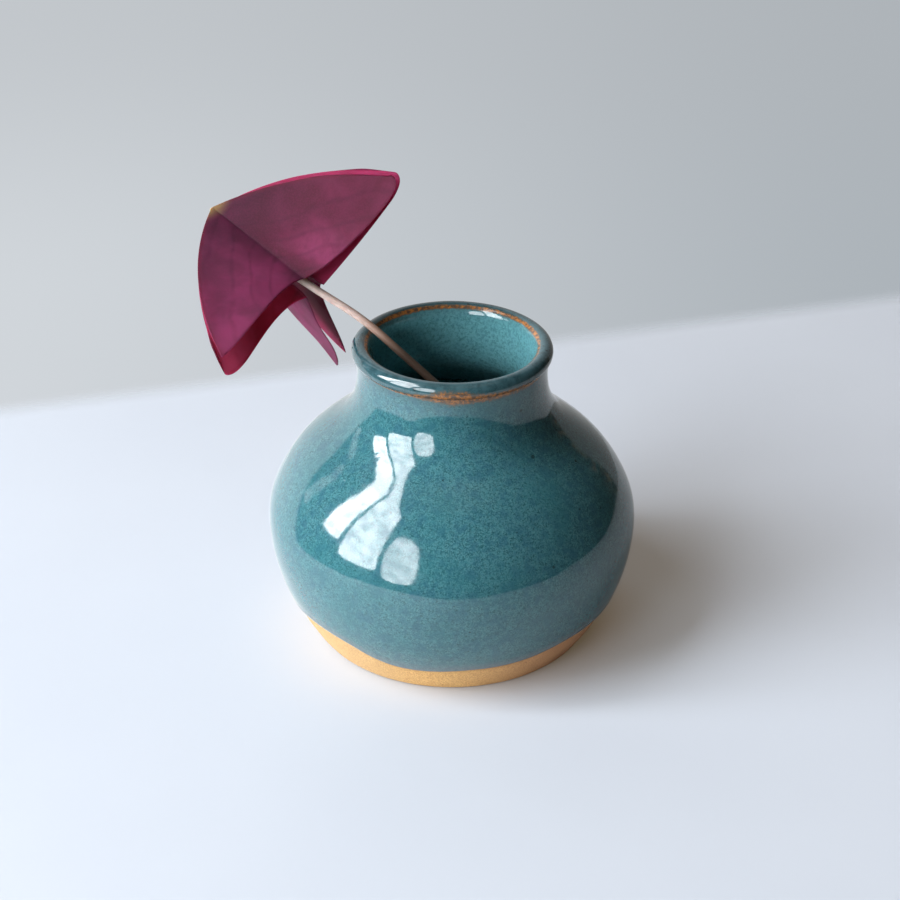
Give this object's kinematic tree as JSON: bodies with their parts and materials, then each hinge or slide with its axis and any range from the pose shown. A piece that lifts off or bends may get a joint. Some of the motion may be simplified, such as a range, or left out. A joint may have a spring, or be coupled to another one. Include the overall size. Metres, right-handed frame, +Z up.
{
  "type": "bud vase",
  "caption": "Squat round glazed stoneware bud vase with a short neck and rolled lip, holding one half-folded purple clover-like leaf on a thin stalk.",
  "frame": {"origin": "centre of the flat foot, on the vase's axis", "axes": "+Z up along the vase's axis; the leaf leans out over -X and its front leaflet faces -Y"},
  "size_m": [0.0874, 0.0746, 0.0965],
  "materials": {
    "bare_clay": "matte",
    "outside_glaze": "gloss",
    "lip_glaze": "gloss",
    "inside_glaze": "gloss",
    "stalk": "satin",
    "hub": "matte",
    "leaf": "satin"
  },
  "bodies": {
    "vase": {"stoneware_body": "bare_clay", "exterior_glaze": "outside_glaze", "lip_glaze": "lip_glaze", "interior_glaze": "inside_glaze"},
    "sprig": {"stem": "stalk", "leaf_hub": "hub"},
    "leaflet_front": {"leaflet_front": "leaf"},
    "leaflet_lower": {"leaflet_lower": "leaf"},
    "leaflet_back": {"leaflet_back": "leaf"}
  },
  "joints": [
    {"name": "sprig_lift", "type": "slide", "parent": "vase", "child": "sprig", "axis": [-0.7451, 0.2207, 0.6293], "range_m": [0, 0.07]},
    {"name": "front_fold", "type": "hinge", "parent": "sprig", "child": "leaflet_front", "pos_m": [-0.04827, 0.0184, 0.08399], "axis": [-0.6543, -0.5333, -0.5362], "range_deg": [0, 50]},
    {"name": "lower_fold", "type": "hinge", "parent": "sprig", "child": "leaflet_lower", "pos_m": [-0.04884, 0.01905, 0.0821], "axis": [0.3797, 0.8466, -0.3729], "range_deg": [0, 50]},
    {"name": "back_fold", "type": "hinge", "parent": "sprig", "child": "leaflet_back", "pos_m": [-0.04748, 0.02016, 0.08321], "axis": [0.2746, -0.3134, 0.9091], "range_deg": [0, 50]}
  ],
  "couplings": [
    {"joint": "lower_fold", "follows": "front_fold", "ratio": 1},
    {"joint": "back_fold", "follows": "front_fold", "ratio": 1}
  ]
}
